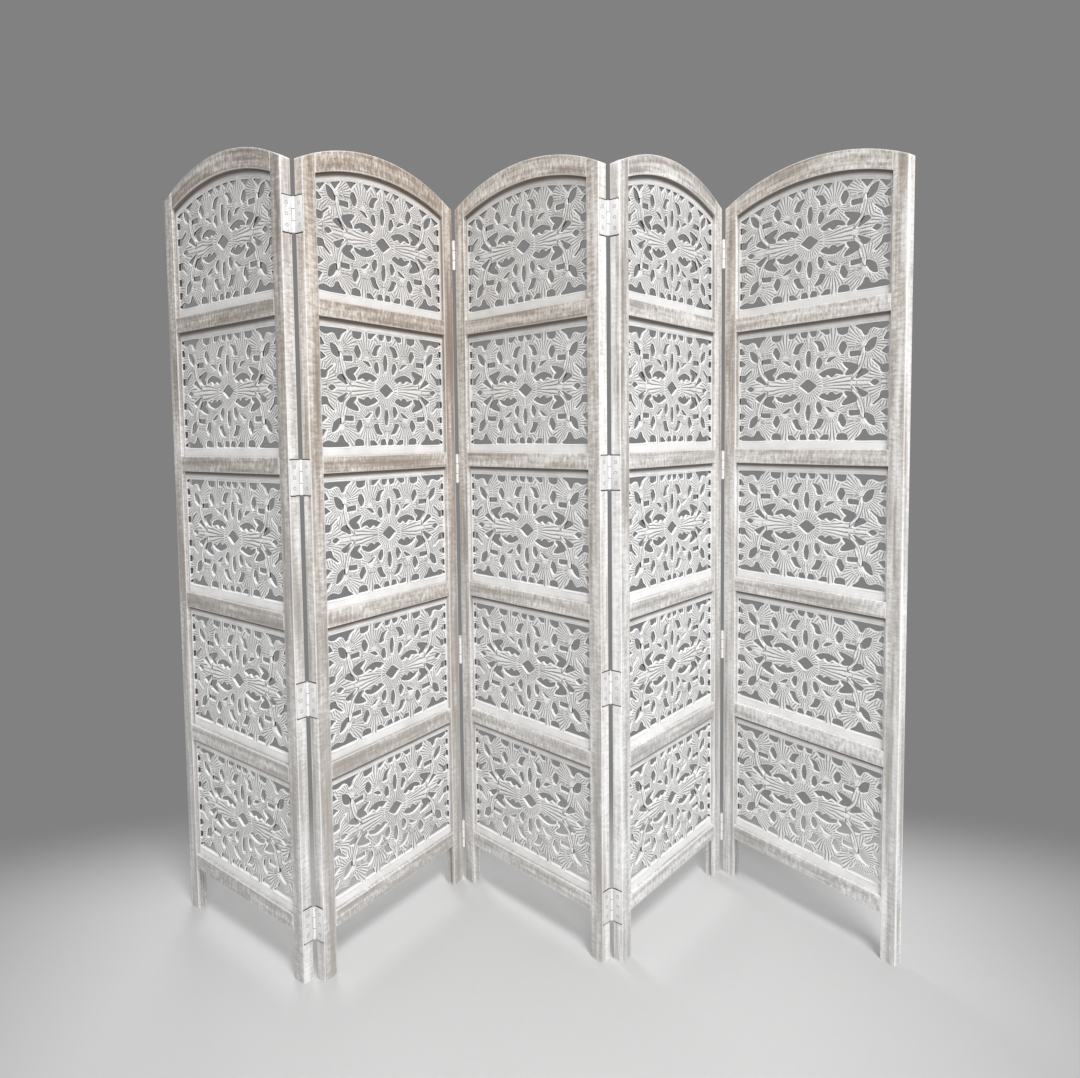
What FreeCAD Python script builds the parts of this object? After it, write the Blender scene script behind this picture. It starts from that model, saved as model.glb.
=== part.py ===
import FreeCAD, Part
import math
import os

# Carved jali screen: five wooden leaves that fold on butt hinges, standing in a zigzag.
# Millimetres, +Z up, the carved fronts face -Y. The origin is on the floor under the
# middle of the rest pose. Each leaf is modelled flat in its own frame first, with x along
# its width, y from its front face to its back and z from the floor, and then put in place.

# Frame of one leaf
leaf_width = 483.0
frame_thickness = 25.0
stile_width = 35.0
rail_height = 36.8
foot_height = 108.0
opening_height = 299.0
arched_opening_side_height = 258.0
arch_inner_rise = 38.2
arch_band_height = 45.8
arch_outer_rise = 59.5

# Panels, and the grooves that hold them
panel_thickness = 9.0
panel_fit_gap = 0.1
panel_side_gap = 1.0
panel_top_gap = 1.5
stile_groove_depth = 8.0
rail_groove_depth = 7.0
tenon_end_gap = 0.5
arch_tenon_height = 25.0

# Butt hinges between the leaves
hinge_gap = 3.0
plate_height = 75.0
plate_thickness = 1.2
plate_margin = 2.0
plate_barrel_gap = 0.3
barrel_radius = 3.75
pin_offset = 4.0
pin_radius = 1.6
pin_fit_gap = 0.05
pin_end_length = 1.0
middle_knuckle_height = 25.0
knuckle_gap = 0.3
hinge_height_shares = (0.070, 0.344, 0.606, 0.905)

# Few faces on the small hinge barrels, because there are 48 of them
barrel_sides = 6

# Numbers of pieces, and the pose at rest
leaf_count = 5
plain_panel_count = 4
first_leaf_direction_deg = -39.3
fold_angles_deg = (85.0, 78.0, 84.0, 76.0)
fold_pin_faces = ("back", "front", "back", "front")

# Length that a cut runs past the wood
overrun = 5.0

# Sizes that follow from the driving ones
opening_half_width = leaf_width / 2 - stile_width
opening_half_height = opening_height / 2
panel_pitch = rail_height + opening_height
arched_opening_bottom = foot_height + plain_panel_count * panel_pitch + rail_height
arch_spring_height = arched_opening_bottom + arched_opening_side_height
leaf_height = arch_spring_height + arch_inner_rise + arch_band_height
groove_width = panel_thickness + 2 * panel_fit_gap
groove_front = (frame_thickness - groove_width) / 2
panel_front = (frame_thickness - panel_thickness) / 2
tenon_length = stile_groove_depth - tenon_end_gap
bore_radius = (pin_radius + pin_fit_gap) / math.cos(math.pi / barrel_sides)

# Pierced openings of a carved panel. Each outline is in shares of the opening's half width
# and half height from the panel's centre, for the upper right quarter.
diamond_shares = ((0.115, 0.0), (0.0, 0.107), (-0.115, 0.0), (0.0, -0.107))
cloud_shares = ((0.155, 0.17), (0.435, 0.135), (0.305, 0.245))
pennant_shares = ((0.445, 0.34), (0.615, 0.27), (0.465, 0.12))
wing_shares = ((0.76, 0.355), (0.965, 0.255), (0.935, 0.125))
corner_shares = ((0.58, 0.865), (0.96, 0.855), (0.71, 0.705))
middle_quarter_shares = (cloud_shares, pennant_shares, wing_shares)

# Small triangles under the arch: middle, half width and height, in shares of the same
# half sizes, and the width of the plain border that they leave
arch_triangle_middle_shares = (0.0, 0.35, 0.70)
arch_triangle_half_width_share = 0.065
arch_triangle_height_share = 0.09
arch_border = 20.0


def box(x0, x1, y0, y1, z0, z1):
    """Block between two values along each axis, in either order."""
    size = (abs(x1 - x0), abs(y1 - y0), abs(z1 - z0))
    return Part.makeBox(*size, FreeCAD.Vector(min(x0, x1), min(y0, y1), min(z0, z1)))


def circle_height(x, half_span, top, rise):
    """Height at x from the middle of an arc that falls by rise at half_span."""
    radius = (half_span**2 + rise**2) / (2 * rise)
    return top - radius + math.sqrt(radius**2 - x**2)


def outer_arch_height(x):
    """Height of the leaf's curved top edge at x."""
    return circle_height(x - leaf_width / 2, leaf_width / 2, leaf_height, arch_outer_rise)


def inner_arch_height(x):
    """Height of the curved underside of the arch rail at x."""
    top = arch_spring_height + arch_inner_rise
    return circle_height(x - leaf_width / 2, opening_half_width, top, arch_inner_rise)


def arc_edge(height_at, x0, x1):
    """Arc in the leaf's front plane from x0 to x1 along a curve of heights."""
    points = [FreeCAD.Vector(x, 0, height_at(x)) for x in (x0, (x0 + x1) / 2, x1)]
    return Part.Arc(*points).toShape()


def line_edges(points):
    """Straight edges in the leaf's front plane through points (x, z)."""
    corners = [FreeCAD.Vector(x, 0, z) for x, z in points]
    return [Part.makeLine(a, b) for a, b in zip(corners, corners[1:])]


def slab(edges, front, thickness, hole_wires=()):
    """Flat piece from an outline in the front plane, moved back by front and thickened."""
    face = Part.Face([Part.Wire(edges), *hole_wires])
    solid = face.extrude(FreeCAD.Vector(0, thickness, 0))
    solid.translate(FreeCAD.Vector(0, front, 0))
    return solid


def left_stile():
    """Upright with a square foot and an arched top, grooved from the foot to the top tenon."""
    corners = [
        (0, outer_arch_height(0)),
        (0, 0),
        (stile_width, 0),
        (stile_width, outer_arch_height(stile_width)),
    ]
    edges = line_edges(corners) + [arc_edge(outer_arch_height, stile_width, 0)]
    groove = box(
        stile_width - stile_groove_depth, stile_width + overrun,
        groove_front, groove_front + groove_width,
        -overrun, arch_spring_height + arch_tenon_height,
    )
    return slab(edges, 0, frame_thickness).cut(groove)


def right_stile():
    """The left stile's mirror image on the other edge of the leaf."""
    return left_stile().mirror(FreeCAD.Vector(leaf_width / 2, 0, 0), FreeCAD.Vector(1, 0, 0))


def cross_rail(bottom, grooved_below):
    """Rail between the stiles, grooved for the panels, with a stub tenon at each end."""
    top = bottom + rail_height
    tenon_top = top - rail_groove_depth
    tenon_bottom = bottom + rail_groove_depth if grooved_below else bottom
    left, right = stile_width, leaf_width - stile_width
    groove_back = groove_front + groove_width
    rail = box(left, right, 0, frame_thickness, bottom, top)
    rail = rail.cut(box(left, right, groove_front, groove_back, tenon_top, top))
    if grooved_below:
        rail = rail.cut(box(left, right, groove_front, groove_back, bottom, tenon_bottom))
    for shoulder, end in ((left, left - tenon_length), (right, right + tenon_length)):
        tenon = box(shoulder, end, groove_front, groove_back, tenon_bottom, tenon_top)
        rail = rail.fuse(tenon)
    return rail.removeSplitter()


def arch_rail():
    """Curved top rail with a stub tenon at each end."""
    left, right = stile_width, leaf_width - stile_width
    sides = ((left, outer_arch_height(left)), (left, arch_spring_height))
    edges = line_edges(sides)
    edges.append(arc_edge(inner_arch_height, left, right))
    edges += line_edges([(leaf_width - x, z) for x, z in reversed(sides)])
    edges.append(arc_edge(outer_arch_height, right, left))
    rail = slab(edges, 0, frame_thickness)
    tenon_top = arch_spring_height + arch_tenon_height
    for shoulder, end in ((left, left - tenon_length), (right, right + tenon_length)):
        tenon = box(
            shoulder, end, groove_front, groove_front + groove_width,
            arch_spring_height, tenon_top,
        )
        rail = rail.fuse(tenon)
    return rail.removeSplitter()


def opening_wire(shares, centre_height, flip_x, flip_z):
    """Closed outline of one pierced opening, flipped about the panel's two middle lines."""
    points = [
        FreeCAD.Vector(
            leaf_width / 2 + flip_x * x * opening_half_width, 0,
            centre_height + flip_z * z * opening_half_height,
        )
        for x, z in shares
    ]
    return Part.makePolygon(points + points[:1])


def pattern_wires(centre_height, quarter_outlines, flips_z=(1, -1)):
    """The diamond in the middle, and the quarter's outlines repeated about it."""
    wires = [opening_wire(diamond_shares, centre_height, 1, 1)]
    for shares in quarter_outlines:
        wires += [
            opening_wire(shares, centre_height, flip_x, flip_z)
            for flip_x in (1, -1)
            for flip_z in flips_z
        ]
    return wires


def plain_panel(number):
    """Pierced rectangular panel, numbered upwards from the floor, sitting in its grooves."""
    opening_bottom = foot_height + number * panel_pitch + rail_height
    reach = stile_groove_depth - panel_side_gap
    left, right = stile_width - reach, leaf_width - stile_width + reach
    bottom = opening_bottom - rail_groove_depth
    top = opening_bottom + opening_height + rail_groove_depth - panel_top_gap
    edges = line_edges([(left, bottom), (right, bottom), (right, top), (left, top), (left, bottom)])
    centre = opening_bottom + opening_half_height
    wires = pattern_wires(centre, middle_quarter_shares + (corner_shares,))
    return slab(edges, panel_front, panel_thickness, wires)


def arch_triangle(middle):
    """Small opening that points down from the plain border under the arch."""
    half_width = arch_triangle_half_width_share * opening_half_width
    depth = arch_triangle_height_share * opening_half_height
    points = [
        FreeCAD.Vector(x, 0, inner_arch_height(x) - arch_border)
        for x in (middle - half_width, middle + half_width)
    ]
    tip = inner_arch_height(middle) - arch_border - depth
    points.append(FreeCAD.Vector(middle, 0, tip))
    return Part.makePolygon(points + points[:1])


def arched_panel():
    """Top panel: the same middle, cut off by the arch with a row of triangles below it."""
    reach = stile_groove_depth - panel_side_gap
    left, right = stile_width, leaf_width - stile_width
    bottom = arched_opening_bottom - rail_groove_depth
    side_top = arch_spring_height - panel_top_gap
    corners = [
        (left, arch_spring_height),
        (left, side_top),
        (left - reach, side_top),
        (left - reach, bottom),
        (right + reach, bottom),
        (right + reach, side_top),
        (right, side_top),
        (right, arch_spring_height),
    ]
    edges = line_edges(corners) + [arc_edge(inner_arch_height, right, left)]
    centre = arched_opening_bottom + opening_half_height
    wires = pattern_wires(centre, middle_quarter_shares)
    wires += [opening_wire(corner_shares, centre, flip_x, -1) for flip_x in (1, -1)]
    middles = [share * opening_half_width for share in arch_triangle_middle_shares]
    offsets = sorted({flip_x * middle for middle in middles for flip_x in (1, -1)})
    wires += [arch_triangle(leaf_width / 2 + offset) for offset in offsets]
    return slab(edges, panel_front, panel_thickness, wires)


def prism(x, y, radius, bottom, top):
    """Upright bar with barrel_sides equal sides about the line at (x, y)."""
    turn = 2 * math.pi / barrel_sides
    points = [
        FreeCAD.Vector(x + radius * math.cos(i * turn), y + radius * math.sin(i * turn), bottom)
        for i in range(barrel_sides + 1)
    ]
    face = Part.Face(Part.makePolygon(points))
    return face.extrude(FreeCAD.Vector(0, 0, top - bottom))


def pin_line(side, pin_face):
    """Place (x, y) of a hinge pin at a leaf's left or right edge, just off one face."""
    x = leaf_width + hinge_gap / 2 if side == "right" else -hinge_gap / 2
    y = frame_thickness + pin_offset if pin_face == "back" else -pin_offset
    return x, y


def knuckle_spans(side):
    """Heights of a plate's knuckles from its middle: two on a right edge, one on a left."""
    half_middle = middle_knuckle_height / 2
    if side == "left":
        return [(-half_middle, half_middle)]
    inner = half_middle + knuckle_gap
    return [(inner, plate_height / 2), (-plate_height / 2, -inner)]


def hinge_plate(side, pin_face, middle):
    """Half of a butt hinge: a plate on the stile's edge, with fingers round the pin."""
    edge, outward = (leaf_width, 1) if side == "right" else (0, -1)
    face, away = (frame_thickness, 1) if pin_face == "back" else (0, -1)
    pin_x, pin_y = pin_line(side, pin_face)
    outside = edge + outward * plate_thickness
    far_end = face - away * (frame_thickness - plate_margin)
    near_end = face - away * plate_barrel_gap
    bottom, top = middle - plate_height / 2, middle + plate_height / 2
    plate = box(edge, outside, far_end, near_end, bottom, top)
    for low, high in knuckle_spans(side):
        finger = box(edge, outside, near_end, pin_y, middle + low, middle + high)
        barrel = prism(pin_x, pin_y, barrel_radius, middle + low, middle + high)
        plate = plate.fuse([finger, barrel])
    bore = prism(pin_x, pin_y, bore_radius, bottom - overrun, top + overrun)
    return plate.cut(bore).removeSplitter()


def hinge_pin(side, pin_face, middle):
    """Pin of one hinge, a little longer than its barrel."""
    half_length = plate_height / 2 + pin_end_length
    return prism(*pin_line(side, pin_face), pin_radius, middle - half_length, middle + half_length)


def leaf_frames():
    """Rest placement of every leaf, chained through the pins and centred on the origin."""
    placements = []
    direction = first_leaf_direction_deg
    place = FreeCAD.Placement(FreeCAD.Vector(), FreeCAD.Rotation(FreeCAD.Vector(0, 0, 1), direction))
    placements.append(place)
    for fold, pin_face in zip(fold_angles_deg, fold_pin_faces):
        turn = 180 - fold
        direction += turn if pin_face == "back" else -turn
        rotation = FreeCAD.Rotation(FreeCAD.Vector(0, 0, 1), direction)
        pin_here = placements[-1].multVec(FreeCAD.Vector(*pin_line("right", pin_face), 0))
        pin_there = rotation.multVec(FreeCAD.Vector(*pin_line("left", pin_face), 0))
        placements.append(FreeCAD.Placement(pin_here - pin_there, rotation))
    corners = [
        place.multVec(FreeCAD.Vector(x, y, 0))
        for place in placements
        for x in (0, leaf_width)
        for y in (0, frame_thickness)
    ]
    low = FreeCAD.Vector(min(c.x for c in corners), min(c.y for c in corners), 0)
    high = FreeCAD.Vector(max(c.x for c in corners), max(c.y for c in corners), 0)
    for place in placements:
        place.Base = place.Base - (low + high) / 2
    return placements


def leaf_pieces(index):
    """Pieces of one leaf by name, flat in the leaf's own frame."""
    rail_bottoms = [foot_height + i * panel_pitch for i in range(plain_panel_count + 1)]
    hinge_heights = [share * leaf_height for share in hinge_height_shares]
    pieces = {
        "left_stile": [left_stile()],
        "right_stile": [right_stile()],
        "bottom_rail": [cross_rail(rail_bottoms[0], False)],
        "cross_rails": [cross_rail(bottom, True) for bottom in rail_bottoms[1:]],
        "arch_rail": [arch_rail()],
        "arched_panel": [arched_panel()],
    }
    for number in range(plain_panel_count):
        pieces["panel_%d" % (plain_panel_count - number)] = [plain_panel(number)]
    plates = []
    if index > 0:
        plates += [hinge_plate("left", fold_pin_faces[index - 1], z) for z in hinge_heights]
    if index < leaf_count - 1:
        plates += [hinge_plate("right", fold_pin_faces[index], z) for z in hinge_heights]
    pieces["hinge_plates"] = plates
    return pieces


def fold_pins(index):
    """The four pins of the fold between a leaf and the next one to its right."""
    return [
        hinge_pin("right", fold_pin_faces[index], share * leaf_height)
        for share in hinge_height_shares
    ]


def write(name, solids, place):
    """Put solids in place and write them to their own file."""
    for solid in solids:
        solid.Placement = place.multiply(solid.Placement)
    shape = solids[0] if len(solids) == 1 else Part.makeCompound(solids)
    shape.exportStep("parts/" + name + ".step")


os.makedirs("parts", exist_ok=True)
frames = leaf_frames()
for leaf in range(leaf_count):
    for piece, solids in leaf_pieces(leaf).items():
        write("leaf_%d_%s" % (leaf + 1, piece), solids, frames[leaf])
    if leaf < leaf_count - 1:
        write("fold_%d_%d_hinge_pins" % (leaf + 1, leaf + 2), fold_pins(leaf), frames[leaf])
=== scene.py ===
import math

import bpy
import numpy as np
from bpy.props import FloatProperty, FloatVectorProperty, IntProperty, PointerProperty
from mathutils import Matrix, Vector


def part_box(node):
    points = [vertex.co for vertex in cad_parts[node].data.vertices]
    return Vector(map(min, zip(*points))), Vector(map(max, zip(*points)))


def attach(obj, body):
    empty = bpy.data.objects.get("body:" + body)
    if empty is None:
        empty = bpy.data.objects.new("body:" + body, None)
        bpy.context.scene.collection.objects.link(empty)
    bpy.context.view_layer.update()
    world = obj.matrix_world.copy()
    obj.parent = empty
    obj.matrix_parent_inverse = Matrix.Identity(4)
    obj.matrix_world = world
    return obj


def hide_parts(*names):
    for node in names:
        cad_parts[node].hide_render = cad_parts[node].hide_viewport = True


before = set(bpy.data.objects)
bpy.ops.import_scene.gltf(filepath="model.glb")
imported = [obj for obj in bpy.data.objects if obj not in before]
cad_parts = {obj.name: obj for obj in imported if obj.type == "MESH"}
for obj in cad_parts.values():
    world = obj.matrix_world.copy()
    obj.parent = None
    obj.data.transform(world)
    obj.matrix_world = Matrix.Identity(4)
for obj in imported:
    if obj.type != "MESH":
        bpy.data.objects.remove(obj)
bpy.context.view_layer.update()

bl_info = {
    "name": "Carved Jali Screen",
    "version": (1, 0, 0),
    "blender": (4, 5, 0),
    "location": "3D View > Sidebar > Jali Screen",
    "description": "A five-leaf folding screen with limewashed frames and carved, pierced panels",
    "category": "Add Mesh",
}

# Lengths are metres. Each leaf is worked out flat in its own frame, with x along its width
# from the left edge, y from its front face to its back and z from the floor, and is then
# put where the packed model has it.
LEAF_COUNT = 5
PLAIN_PANEL_COUNT = 4

# Height of the hinges' middles in shares of the leaf's height, the face that each fold's
# pins stand off, and the heights of the screws in shares of the plate's half height
HINGE_HEIGHT_SHARES = (0.070, 0.344, 0.606, 0.905)
FOLD_PIN_FACES = ("back", "front", "back", "front")
SCREW_HEIGHT_SHARES = (-0.61, 0.0, 0.61)

# Pierced openings of a carved panel for its upper right quarter, in thousandths of the
# opening's half width and half height from its middle. Those with straight sides first.
STRAIGHT_OPENING_SHARES = {
    "diamond": ((103, 0), (0, 107), (-103, 0), (0, -107)),
    "block": ((524, 408), (638, 408), (628, 482), (524, 488)),
    "bud": ((763, 0), (808, 47), (853, 0), (808, -47)),
    "edge_triangle": ((888, 435), (953, 395), (953, 508)),
    "sliver": ((908, 615), (953, 602), (953, 716)),
    "row_inner": ((20, 856), (95, 856), (85, 776), (45, 763)),
    "row_middle": ((155, 856), (254, 856), (254, 776), (219, 776)),
    "row_outer": ((369, 856), (489, 856), (479, 769), (434, 749), (384, 769)),
}
CURVED_OPENING_SHARES = {
    "slit": ((0, 288), (22, 428), (0, 562), (-22, 428)),
    "side_slit": ((125, 247), (170, 341), (140, 435), (115, 341)),
    "crescent": ((195, 542), (150, 669), (75, 696), (100, 649), (130, 589), (145, 522)),
    "tear": ((239, 341), (279, 415), (344, 428), (289, 381)),
    "cloud": ((150, 176), (200, 120), (240, 172), (296, 114), (346, 170), (428, 138),
              (398, 206), (306, 250), (222, 226)),
    "notch": ((440, 330), (520, 312), (606, 262), (560, 150), (474, 120), (480, 176), (506, 214),
              (462, 262)),
    "point": ((419, 455), (469, 569), (439, 656), (394, 555)),
    "leaf": ((713, 448), (788, 508), (813, 649), (748, 609), (708, 522)),
    "tail": ((589, 60), (628, 87), (728, 154), (678, 214), (638, 161)),
    "vee": ((778, 341), (868, 227), (893, 140), (953, 140), (953, 254), (883, 241)),
    "corner": ((594, 863), (938, 863), (948, 809), (873, 769), (798, 803), (738, 783),
               (696, 694), (656, 783)),
}

# Openings next to the rails, which the arched panel has only below its middle
ROW_OPENINGS = ("row_inner", "row_middle", "row_outer", "corner")

# Openings under the arch: middle, half width and depth in the same thousandths
ARCH_OPENING_SHARES = ((73, 36, 84), (228, 44, 90), (460, 62, 104), (690, 60, 108), (900, 52, 96))

# Steps from one point of a curve to the next, and the slope of a curved opening and of the
# stem at each point, in shares of the step between the point's neighbours
CURVE_STEPS = 5
OPENING_SLOPE = 0.28
STEM_SLOPE = 0.5

# The vine's stem in the same thousandths, the shares of the half height over which it
# comes out of the wood and sinks back, and how far strokes stay off it, in half widths
STEM_SHARES = ((540, 40), (584, 150), (636, 268), (664, 390), (684, 520))
STEM_START = (0.0, 0.22)
STEM_END = (0.40, 0.62)
STEM_CLEARANCE = 1.4

# Where the carver's strokes fan out from: middle across and up in the same thousandths, and
# how far the fan reaches in thousandths of the half height
FAN_SHARES = ((0, 0, 640), (0, 520, 330), (700, 560, 400), (1000, 30, 420), (300, 450, 330),
              (560, 420, 200), (1010, 960, 420))

# In shares of a fan's reach: where its strokes are one stroke's width apart, within what
# there are half as many, and over what they fade beside the next fan, out from the fan's
# middle and where their number halves
STROKE_WIDTH_SHARE = 0.8
HALVED_SHARE = 0.4
NEXT_FAN_FADE = 0.05
MIDDLE_FADE = (0.12, 0.22)
HALVING_FADE = 0.03

# Distances from the frame over which the plain border ends, along the rails and the stiles
RAIL_BORDER = (0.018, 0.021)
STILE_BORDER = (0.008, 0.010)

# How bare, and how dark with painted shade, the corners above, beside and below are, and the
# distances from the frame over which that ends
BARE_AND_SHADED_CORNERS = ((1.0, 0.003, 0.017), (0.6, 0.001, 0.006), (0.3, 0.001, 0.004))

# From where to where about its half width the stem's side slopes, the half width of the
# valley between the twin stems, its share of the ground's drop, and the least drop anywhere
STEM_SIDE = (-0.001, 0.002)
VALLEY_HALF_WIDTH = 0.0020
VALLEY_SHARE = 0.9
LEAST_DROP = 0.0001

# Least distance of the carved surface's points from the cut, in shares of their pitch
LEAST_CUT_SHARE = 0.1

# Stray of the hand: for each axis that it moves, the waves across and up in radians per
# metre and their phase for each board, and the shares of the half size where it fades
PLAY_WAVES = ((0, 31.0, 43.0, 1.9), (2, 47.0, 29.0, 2.7))
PLAY_UP_PHASE = 1.3
PLAY_FADE_ACROSS = (0.8, 1.0)
PLAY_FADE_UP = (0.75, 0.95)

# Steps in the quarter circle of a rounded corner, and its points with those of its bands
CORNER_STEPS = 3
CORNER_POINTS = CORNER_STEPS + 3

# How far apart the boards lie in the patterns of the wood, and how sawn the boards look
STILE_GRAIN_STEP = (3.1, 1.7, 0.9)
RAIL_GRAIN_STEP = (2.3, 1.1, 0.7)
ARCH_RAIL_SEED = 7
STILE_SAWN = 0.15
RAIL_SAWN = 0.85

# How far the bed of painted shadow stands off the wood, the radius of the corners and the
# chamfer of the bed, of the plate and of the fingers, and the chamfer of a knuckle
SHADOW_BED_STAND = 0.0004
SHADOW_BED_CORNERS = (0.001, 0.0001)
PLATE_CORNERS = (0.0025, 0.0003)
FINGER_CORNERS = (0.0003, 0.0001)
KNUCKLE_CHAMFER = 0.0009

# Band beside a plate's corner: its reach in corner radii, and the most of the plate's width
CORNER_BAND_RADII = 1.6
CORNER_BAND_SHARE = 1 / 2.2

# Sides of a pin, and its ends: share of its radius, and how far past the hinge's end
PIN_SIDES = 12
PIN_ENDS = ((0.55, 0.001), (1.0, 0.0005))

# Screw head: its sides and rings, the smallest ring in shares of the radius, how proud its
# middle stands, the half width, reach and depth of the cross recess, and its rings of painted shade
SCREW_SIDES = 24
SCREW_RINGS = 6
SCREW_MIDDLE_SHARE = 0.12
SCREW_DOME = 0.00025
SLOT_WIDTH_SHARE = 0.30
SLOT_REACH_SHARE = 0.72
SLOT_DEPTH = 0.0006
SCREW_SHADED_RINGS = 3

# Wear value that marks a hollow for painted shade, where other places have their distance from the
# nearest edge
PAINTED_SHADE_HOLLOW = -0.001

# Faces that meet at more than this keep a sharp edge between them
SHARP_ANGLE = math.radians(40)

# How much lighter or darker each leaf is, from left to right, from its wash and from painted
# shade for the light that reaches it, and how much of the wood's brown shows through the wash
LEAF_WASH_AND_SHADE_SHARES = (-0.14, -0.15, -0.02, 0.04, 0.06)
LEAF_WARMTH_SHARES = (0.65, 1.0, 0.85, 0.55, 0.7)

# How much more wash the stiles' outer faces have, and how much painted shade the rails' undersides
# have
OUTER_WASH = 0.22
UNDERSIDE_PAINTED_SHADE = -0.9

# Heights over which the wood turns warmer, on the frames and on the panels
FRAME_WARM_HEIGHTS = (0.1, 1.7)
PANEL_WARM_HEIGHTS = (0.9, 1.8)

# Depth of the relief that the wash leaves on the frames, the carving and the hinges
FRAME_RELIEF = 0.0009
CARVING_RELIEF = 0.0014
HINGE_RELIEF = 0.0003

# Gloss of every finish, as the shader's specular level
SPECULAR_LEVEL = 0.35

# The photograph's size, and the width of the camera's sensor in millimetres
PICTURE_WIDTH_PIXELS = 1080
PICTURE_HEIGHT_PIXELS = 1078
SENSOR_WIDTH = 36.0

# Lamps: name, place, what they point at, and size
LAMPS = (
    ("key", (1.3, -3.2, 5.2), (0.1, 0.0, 0.8), 1.3),
    ("fill", (0.6, -4.6, 1.8), (0.1, 0.0, 0.9), 1.8),
    ("rear", (-1.6, 3.6, 3.4), (0.0, 0.0, 0.9), 1.5),
)

# How fast the floor gives way to the plain ground to the sides, behind and in front, and
# between what distances
FLOOR_FADE_SIDEWAYS = 0.5
FLOOR_FADE_BEHIND = 1.35
FLOOR_FADE_IN_FRONT = 0.45
FLOOR_FADE = (0.25, 1.0)


def number_property(name, description, default, **kind):
    """A number that a user can change, with the unit or subtype that fits it."""
    return FloatProperty(name=name, description=description, default=default, **kind)


def length_property(name, description, default):
    """A length that a user can change."""
    return number_property(name, description, default, unit="LENGTH")


def share_property(name, description, default):
    """A share that a user can change."""
    return number_property(name, description, default, subtype="FACTOR")


def colour_property(name, description, default):
    """A colour that a user can change."""
    return FloatVectorProperty(name=name, description=description, default=default,
                               subtype="COLOR", size=3)


class ScreenFrame(bpy.types.PropertyGroup):
    """Sizes of the leaves' frames"""

    stile_width: length_property("Stile width", "Width of the uprights", 0.035)
    thickness: length_property("Thickness", "Thickness of the frames", 0.025)
    arch_inner_rise: length_property("Inner rise", "Rise of the arch's underside", 0.0382)
    arch_outer_rise: length_property("Outer rise", "Rise of the leaf's top edge", 0.0595)
    groove_width: length_property("Groove width", "Width of the stiles' groove", 0.0092)
    groove_depth: length_property("Groove depth", "Depth of the stiles' groove", 0.008)
    edge_radius: length_property("Edge radius", "Rubbed roundness of the long edges", 0.0014)
    end_radius: length_property("End radius", "Rubbed roundness of the ends", 0.0007)
    edge_band: length_property(
        "Edge band", "Width of the band beside an edge that wears with it", 0.006)
    station_gap: length_property(
        "Station gap", "Distance between the sections of a board", 0.02)


class ScreenCarving(bpy.types.PropertyGroup):
    """Sizes of the carved and pierced panels"""

    thickness: length_property("Board thickness", "Thickness of the carved board", 0.009)
    pitch: length_property("Pitch", "Size of the carved surface's squares", 0.0026)
    rebate: length_property(
        "Rebate", "How far the board reaches behind the frame's edge", 0.003)
    side_growth: length_property(
        "Side growth", "How far the openings reach past their outline sideways", 0.0026)
    opening_growth: length_property(
        "Opening growth", "How far they reach past it all round", 0.0004)
    arch_border: length_property("Arch border", "Plain border under the arch", 0.020)
    edge_drop: length_property(
        "Edge drop", "How far the wood falls away at an opening", 0.0013)
    edge_reach: length_property(
        "Edge reach", "How far from an opening that fall begins", 0.0050)
    ground_drop: length_property(
        "Ground drop", "How far the leaves lie below the stems", 0.0012)
    stem_half_width: length_property("Stem half width", "Half width of the twin stems", 0.0076)
    stroke_width: length_property(
        "Stroke width", "Distance between two strokes of the gouge", 0.0074)
    hand_play: length_property("Hand play", "How far the hand carving strays", 0.0009)


class ScreenHinges(bpy.types.PropertyGroup):
    """Sizes of the butt hinges"""

    gap: length_property("Gap", "Gap between two leaves", 0.003)
    plate_height: length_property("Plate height", "Height of a hinge", 0.075)
    plate_thickness: length_property("Plate thickness", "Thickness of a plate", 0.0012)
    plate_margin: length_property("Plate margin", "Wood left beside the plate", 0.002)
    barrel_radius: length_property("Barrel radius", "Radius of the knuckles", 0.0037)
    pin_radius: length_property("Pin radius", "Radius of the pin", 0.0016)
    pin_offset: length_property(
        "Pin offset", "How far the pin's line stands off the face", 0.004)
    middle_knuckle: length_property("Middle knuckle", "Height of the middle knuckle", 0.025)
    # The bed is a thin dark sheet of painted shadow for the plate's mortise
    shadow_bed_gap: length_property(
        "Bed gap", "How far the bed shows past the plate's ends", 0.0022)
    knuckle_gap: length_property("Knuckle gap", "Gap between two knuckles", 0.0003)
    screw_radius: length_property("Screw radius", "Radius of a screw's head", 0.0035)
    barrel_sides: IntProperty(
        name="Barrel sides", description="Faces round a knuckle", default=20, min=8)


class ScreenColours(bpy.types.PropertyGroup):
    """Colours of the finishes"""

    bare_wood: colour_property(
        "Bare wood", "Grey-brown wood under the wash", (0.245, 0.190, 0.150))
    grey_wash: colour_property("Grey wash", "Thin grey of the first wash", (0.47, 0.45, 0.43))
    tan_wash: colour_property(
        "Tan wash", "Thin wash on the warm wood of the upper boards", (0.54, 0.468, 0.395))
    white_wash: colour_property(
        "White wash", "Thick white of the limewash", (0.88, 0.875, 0.87))
    # Painted shade that lies in the gouge's strokes
    stroke_shade: colour_property(
        "Stroke grey", "Grey that lies in the gouge's strokes", (0.25, 0.242, 0.236))
    # Dark wood with painted shade: the openings' walls, the corner under the rails and the hinges'
    # hollows
    dark_wood_and_shade: colour_property(
        "Opening brown", "Dark wood on the walls of the openings", (0.030, 0.024, 0.019))
    steel: colour_property("Steel", "Dull steel of the hinges", (0.30, 0.29, 0.28))


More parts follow.
